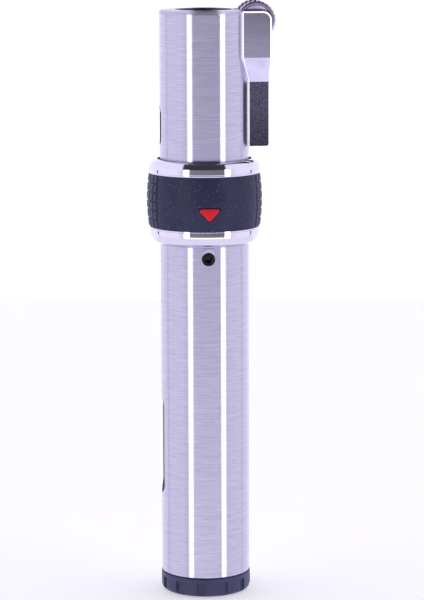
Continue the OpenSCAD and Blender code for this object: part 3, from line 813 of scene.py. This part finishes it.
def thumb_discs():
    """Two discs with fluted rims and dished, stepped faces."""
    r = high("thumb_discs").x - AXLE.x
    inner, outer, hub, flutes = 2.27, 4.5, 0.12, 26
    discs = []
    for side in (-1, 1):
        disc = to_object(placed(fluted(r, 0.2, flutes, inner, outer), ALONG_Y), "disc")
        envelope = soften([
            (0, inner, 0), (r + 0.001, inner, 0.25), (r + 0.001, outer, 0.45), (3.45, outer, 0.12),
            (3.3, outer - 0.15, 0.1), (1.75, outer - 0.25, 0.1),
            (1.6, outer - hub, 0.1), (0, outer - hub, 0)], 5)
        carve(disc, placed(lathe(envelope, 120), ALONG_Y), operation="INTERSECT")
        carve(disc, placed(rod(AXLE_HOLE_R, 0, 6, 48), ALONG_Y))
        soft_edges(disc, 0.05, 45, 2)
        if side < 0:
            disc.data.transform(Matrix.Scale(-1, 4, (0, 1, 0)))
            disc.data.flip_normals()
        disc.data.transform(Matrix.Translation(AXLE * MM))
        discs.append(disc)
    piece(to_object(taken_back(*discs), "knurled_discs"), "wheel", "steel", ["thumb_discs"], "wheel_steel")


# ---------------------------------------------------------------- burner

BASE_TOP = 104.52        # top of the burner's base, where its screws and the jet's hexagon sit
SCREW_CIRCLE_R = 6.3


def hex_outline(radius, turn=0):
    """A hexagon's corners, the first at an angle from +X."""
    return arc(0, 0, radius, turn, turn + 300, 5)


def burner_screws():
    """Three round-headed socket screws."""
    heads = []
    cuts = []
    for azimuth in (105, 225, 345):
        turn = math.radians(azimuth)
        x, y = SCREW_CIRCLE_R * math.cos(turn), SCREW_CIRCLE_R * math.sin(turn)
        heads.append(placed(lathe(soften([
            (0, 93.5, 0), (0.98, 93.5, 0.15), (0.98, BASE_TOP, 0), (1.75, BASE_TOP, 0.06), (1.75, 105.2, 0.3),
            (1.25, 105.7, 0.3), (0, 105.7, 0)]), 48), offset=(x, y, 0)))
        cuts.append(placed(prism(hex_outline(0.75, azimuth), 105.0, 107), offset=(x, y, 0)))
    screws = carve(to_object(joined(*heads), "burner_screw_set"), joined(*cuts))
    soft_edges(screws, 0.03)
    piece(screws, "body", "black_steel", ["burner_screws"])


def gas_jet():
    """Brass jet with a hexagon, a shoulder and a tapered tip."""
    base, hex_top, shoulder, tip = 102.05, BASE_TOP + 1.5, 107.2, 109
    stem = lathe(soften([(0, base, 0), (2.0, base, 0.1), (2.0, hex_top, 0), (1.8, hex_top, 0),
                         (1.8, shoulder, 0.15), (0.8, tip, 0.15), (0, tip, 0)]), 64)
    jet = to_object(stem, "brass_jet")
    nut = to_object(prism(hex_outline(2.9), BASE_TOP, hex_top), "nut")
    carve(nut, lathe([(0, 104), (2.6, 104), (2.9, 104.7), (2.9, 105.84), (2.6, 106.04), (0, 106.04)], 64),
          operation="INTERSECT")
    carve(jet, taken_back(nut), operation="UNION")
    carve(jet, rod(0.8, 101, 107.5, 32), rod(0.2, 107, 110, 24))
    soft_edges(jet, 0.05)
    piece(jet, "body", "brass", ["gas_jet"])


def burner_tubes():
    """Mixing tube with its air holes, and the flame tube with its rolled lip."""
    bore_r, r, base, top, holes_z = 3.4, 4.0, 103.03, 121, 108
    wall = soften([(bore_r, base, 0.05), (r, base, 0.1), (r, top, 0.15), (bore_r, top, 0.1)])
    mixer = to_object(lathe(wall, 128), "mixing_tube_skin")
    holes = []
    for k in range(6):
        turn = Matrix.Rotation(math.radians(60 * k + 30), 4, "Z")
        holes.append(placed(rod(1.1, 2, 6, 48), Matrix.Translation((0, 0, holes_z)) @ turn @ ALONG_X))
    carve(mixer, joined(*holes))
    soft_edges(mixer, 0.06)
    piece(mixer, "body", "steel", ["mixing_tube"])
    flame = to_object(lathe(soften([
        (4.45, 111, 0.08), (5.0, 111, 0.15), (5.0, 126, 0.3), (4.1, 126, 0.12), (4.1, 125.5, 0.08),
        (4.45, 124.8, 0.1)], 6), 160), "flame_tube_skin")
    piece(flame, "body", "steel", ["flame_tube"])


def flame_holder():
    """Brass disc drilled with nineteen holes."""
    r, base, top, spacing, hole_r = 3.37, 116, 119.5, 1.25, 0.42
    outline = soften([(0, base, 0), (r, base, 0.1), (r, top, 0.2), (0, top, 0)])
    disc = to_object(lathe(outline, 96), "flame_disc")
    places = [(0, 0)]
    for ring in (1, 2):
        turns = (math.radians(60 * i / ring) for i in range(6 * ring))
        places += [(spacing * ring * math.cos(turn), spacing * ring * math.sin(turn)) for turn in turns]
    carve(disc, joined(*[placed(rod(hole_r, base - 1, top + 1.5, 24), offset=(x, y, 0)) for x, y in places]))
    soft_edges(disc, 0.05)
    piece(disc, "body", "brass", ["flame_holder"])


# ---------------------------------------------------------------- springs

def wound_spring(node, name, wire_r, turns, steps=24, sides=10):
    """A spring of round wire in a CAD node's place, wound about Z, with its end turns closed up."""
    corner_low, corner_high = low(node), high(node)
    centre = (corner_low + corner_high) / 2
    coil_r = (corner_high.x - corner_low.x) / 2 - wire_r
    rise = corner_high.z - corner_low.z - 2 * wire_r
    end_rise = 3 * wire_r
    pitch = (rise - 2 * end_rise) / (turns - 2)
    mesh = bmesh.new()
    rings = []
    for k in range(turns * steps + 1):
        turn = k / steps
        end_turns = min(turn, 1) + max(turn - turns + 1, 0)
        height = end_rise * end_turns + pitch * min(max(turn - 1, 0), turns - 2)
        out = Vector((math.cos(2 * math.pi * turn), math.sin(2 * math.pi * turn), 0))
        along = Vector((-out.y, out.x, pitch / (2 * math.pi * coil_r))).normalized()
        middle = Vector((centre.x, centre.y, corner_low.z + wire_r + height)) + coil_r * out
        across = along.cross(out)
        angles = (2 * math.pi * s / sides for s in range(sides))
        spokes = (math.cos(a) * out + math.sin(a) * across for a in angles)
        rings.append([mesh.verts.new(middle + wire_r * spoke) for spoke in spokes])
    bridge(mesh, rings, rings[1:])
    mesh.faces.new(rings[0][::-1])
    mesh.faces.new(rings[-1])
    bmesh.ops.recalc_face_normals(mesh, faces=mesh.faces)
    return to_object(mesh, name)


def springs():
    """The filling valve's return spring, which rides with the valve stem, and the flint's spring."""
    node, joint = "fill_valve_spring", "fill_valve_press"
    spring = piece(wound_spring(node, "return_spring_coil", 0.15, 5), "fill_stem", "spring_steel", [node])
    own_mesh(spring)
    node = "flint_spring"
    piece(wound_spring(node, "flint_spring_coil", 0.2, 13), "cap", "spring_steel", [node])


# ---------------------------------------------------------------- pieces that stay as the CAD made them

CAD_WELD = 0.002
CAD_EDGE = 0.05          # how wide the kept nodes' sharp edges are rounded


def keep_cad():
    """Softens the edges of every CAD node that still shows and gives it its slot's material."""
    slots = {row["node"]: row["material_slot"] for row in frame["record"]["subparts"]}
    for name, obj in frame["nodes"].items():
        if name in STOOD_FOR:
            continue
        obj.data.materials.clear()
        obj.data.materials.append(MATERIALS[slots[name]])
        weld = obj.modifiers.new("weld", "WELD")
        weld.merge_threshold = CAD_WELD * MM
        step = obj.modifiers.new("soft_edges", "BEVEL")
        step.width = CAD_EDGE * MM
        step.segments = 2
        step.limit_method = "ANGLE"
        step.angle_limit = math.radians(35)
        step.harden_normals = True
        for face in obj.data.polygons:
            face.use_smooth = True


# ---------------------------------------------------------------- studio

CAMERA_AZIMUTH = -5.0
CAMERA_DISTANCE = 0.547   # from the torch's axis, level, in metres
CAMERA_HEIGHT = 0.155     # in metres
CAMERA_TILT = 9.17        # degrees down
CAMERA_PAN = 0.17         # degrees to the right of the axis
CAMERA_ROLL = -0.19
CAMERA_LENS = 147.0


def camera():
    """Sets the camera where the photo was taken from."""
    data = bpy.data.cameras.new("camera")
    data.lens = CAMERA_LENS
    data.sensor_width = 36
    data.clip_start, data.clip_end = 0.01, 20
    cam = bpy.data.objects.new("camera", data)
    turn = math.radians(CAMERA_AZIMUTH)
    cam.location = (CAMERA_DISTANCE * math.sin(turn), -CAMERA_DISTANCE * math.cos(turn), CAMERA_HEIGHT)
    aim = (Matrix.Rotation(math.radians(CAMERA_AZIMUTH - CAMERA_PAN), 4, "Z")
           @ Matrix.Rotation(math.radians(90 - CAMERA_TILT), 4, "X")
           @ Matrix.Rotation(math.radians(CAMERA_ROLL), 4, "Z"))
    cam.rotation_mode = "QUATERNION"
    cam.rotation_quaternion = aim.to_quaternion()
    bpy.context.scene.collection.objects.link(cam)
    bpy.context.scene.camera = cam


# Radiance round the horizon: degrees from the front, positive to the right, and brightness.
STRIP = 3.6
RING = [(-180, 1.2), (-125, 1.12), (-114, 1.1), (-60, 1.1), (-50, 0.95), (-44, 0.8), (-43, STRIP),
        (-32, STRIP), (-31, 0.30), (-20, 0.26), (20, 0.22), (42.5, 0.22), (43.5, STRIP), (54.5, STRIP),
        (55.5, 0.9), (70, 1.05), (130, 1.12), (180, 1.2)]
LIGHT_TINT = (0.965, 0.935, 1.07)
STRIP_TOP = 0.34         # sine of the height at which the strips end and the dark ceiling starts
CEILING = 0.05
CEILING_SLOPE = 0.41     # half width of the ceiling, as the slope of a mirror that shows its edge
TABLE = 2.4              # brightness of the lit table in front
UNDER = 1.0              # brightness of the ground close by, which hides the strips' lower ends
TABLE_AT = 0.09          # azimuth of the table's middle, in radians
TABLE_HALF = 0.59        # half width of the table, in radians
SEAM_AT = 1.96           # azimuth of the tent's two dark seams, in radians
SEAM = 0.05
TENT_TOP = 1.05          # brightness of the tent above the strips
BACKDROP = 1.1           # brightness of the plain white that the camera sees


class Sums:
    """Arithmetic on shader sockets."""

    def __init__(self, tree):
        self.tree = tree

    def __call__(self, operation, *values):
        """The result of one operation on sockets or numbers."""
        node = self.tree.nodes.new("ShaderNodeMath")
        node.operation = operation
        for socket, value in zip(node.inputs, values):
            if isinstance(value, (int, float)):
                socket.default_value = value
            else:
                self.tree.links.new(value, socket)
        return node.outputs["Value"]

    def ease(self, value, start, end):
        """0 before start, 1 after end, and smooth between them."""
        node = self.tree.nodes.new("ShaderNodeMapRange")
        node.interpolation_type = "SMOOTHSTEP"
        for socket, number in zip(RANGE_SOCKETS, (start, end, 0, 1)):
            node.inputs[socket].default_value = number
        self.tree.links.new(value, node.inputs["Value"])
        return node.outputs["Result"]

    def blend(self, factor, first, second):
        """first where factor is 0, second where it is 1."""
        kept = self("MULTIPLY", self("SUBTRACT", 1, factor), first)
        return self("ADD", kept, self("MULTIPLY", factor, second))


def ring_light(tree, sums, right, front):
    """Brightness round the horizon, from RING."""
    around = sums("ARCTAN2", right, front)
    ramp = tree.nodes.new("ShaderNodeValToRGB")
    stops = ramp.color_ramp.elements
    stops.remove(stops[0])
    for k, (angle, level) in enumerate(RING):
        stop = stops[0] if k == 0 else stops.new((angle + 180) / 360)
        stop.position = (angle + 180) / 360
        stop.color = (level / STRIP,) * 3 + (1,)
    tree.links.new(sums("ADD", 0.5, sums("DIVIDE", around, 2 * math.pi)), ramp.inputs["Fac"])
    return sums("MULTIPLY", ramp.outputs["Color"], STRIP), around


def world():
    """White tent, dark in front between two tall strip lights. The camera itself sees plain white."""
    sky = bpy.data.worlds.new("studio")
    bpy.context.scene.world = sky
    sky.use_nodes = True
    tree = sky.node_tree
    tree.nodes.clear()
    node, link, sums = tree.nodes.new, tree.links.new, Sums(tree)
    coords = node("ShaderNodeTexCoord")
    turned = node("ShaderNodeVectorRotate")
    turned.rotation_type = "Z_AXIS"
    turned.inputs["Angle"].default_value = -math.radians(CAMERA_AZIMUTH)
    link(coords.outputs["Generated"], turned.inputs["Vector"])
    parts = node("ShaderNodeSeparateXYZ")
    link(turned.outputs["Vector"], parts.inputs["Vector"])
    right, up = parts.outputs["X"], parts.outputs["Z"]
    front = sums("MULTIPLY", parts.outputs["Y"], -1)
    level, around = ring_light(tree, sums, right, front)
    # between the strips the table is lit, more so the nearer it is
    off_middle = sums("ABSOLUTE", sums("ADD", around, -TABLE_AT))
    between = sums("SUBTRACT", 1, sums.ease(off_middle, TABLE_HALF, TABLE_HALF + 0.06))
    below = sums("SUBTRACT", 1, sums.ease(up, -0.30, -0.12))
    level = sums.blend(sums("MULTIPLY", between, below), level, TABLE)
    level = sums.blend(sums.ease(up, -0.44, -0.38), UNDER, level)
    # above the strips the tent is bright but for a dark ceiling
    above = sums.ease(up, STRIP_TOP - 0.02, STRIP_TOP + 0.02)
    slope = sums("DIVIDE", sums("ABSOLUTE", right), sums("ADD", front, 1.001))
    ceiling = sums("SUBTRACT", 1, sums.ease(slope, CEILING_SLOPE - 0.02, CEILING_SLOPE + 0.03))
    level = sums.blend(above, level, sums.blend(ceiling, TENT_TOP, CEILING))
    # two thin dark seams at the sides, faint down by the table
    off_seam = sums("ABSOLUTE", sums("SUBTRACT", sums("ABSOLUTE", around), SEAM_AT))
    seam = sums("SUBTRACT", 1, sums.ease(off_seam, 0.03, 0.055))
    seam = sums("MULTIPLY", seam, sums("SUBTRACT", 1, sums.ease(up, -0.09, -0.06)))
    faint = sums("ADD", 0.3, sums("MULTIPLY", 0.7, sums.ease(up, -0.15, -0.10)))
    seam = sums("MULTIPLY", sums("MULTIPLY", seam, faint), sums.ease(up, -0.40, -0.36))
    level = sums.blend(seam, level, SEAM)
    tent = node("ShaderNodeBackground")
    tent.inputs["Color"].default_value = (*LIGHT_TINT, 1)
    link(level, tent.inputs["Strength"])
    plain = node("ShaderNodeBackground")
    plain.inputs["Color"].default_value = (1, 1, 1, 1)
    plain.inputs["Strength"].default_value = BACKDROP
    path = node("ShaderNodeLightPath")
    choose = node("ShaderNodeMixShader")
    link(path.outputs["Is Camera Ray"], choose.inputs["Fac"])
    link(tent.outputs["Background"], choose.inputs[1])
    link(plain.outputs["Background"], choose.inputs[2])
    out = node("ShaderNodeOutputWorld")
    link(choose.outputs["Shader"], out.inputs["Surface"])


FLOOR_R = 0.42           # in metres
FLOOR_GLOW = 0.4         # what the floor gives off, as a lit table top does


def floor():
    """Round pale table top."""
    mesh = bmesh.new()
    bmesh.ops.create_circle(mesh, cap_ends=True, segments=128, radius=FLOOR_R / MM)
    obj = to_object(mesh, "table_top")
    mat, tree, shader = new_material("pale_table")
    grain = stretched_noise(tree, (1, 1, 1), 60, 3.0)
    shade = mix_colour(tree, grain, (0.93, 0.93, 0.94), (0.97, 0.97, 0.98))
    tree.links.new(shade, shader.inputs["Base Color"])
    shader.inputs["Roughness"].default_value = 0.6
    shader.inputs["Emission Color"].default_value = (1, 1, 1, 1)
    shader.inputs["Emission Strength"].default_value = FLOOR_GLOW
    obj.data.materials.append(mat)
    obj.visible_glossy = False


for make in (tank_tube, sight_window, cap, bezels, grip, arrow, set_screw, foot, striker_housing, spark_wheel,
             thumb_discs, burner_screws, gas_jet, burner_tubes, flame_holder, springs):
    make()
keep_cad()
floor()
world()
camera()
bpy.context.scene.view_settings.view_transform = "Standard"
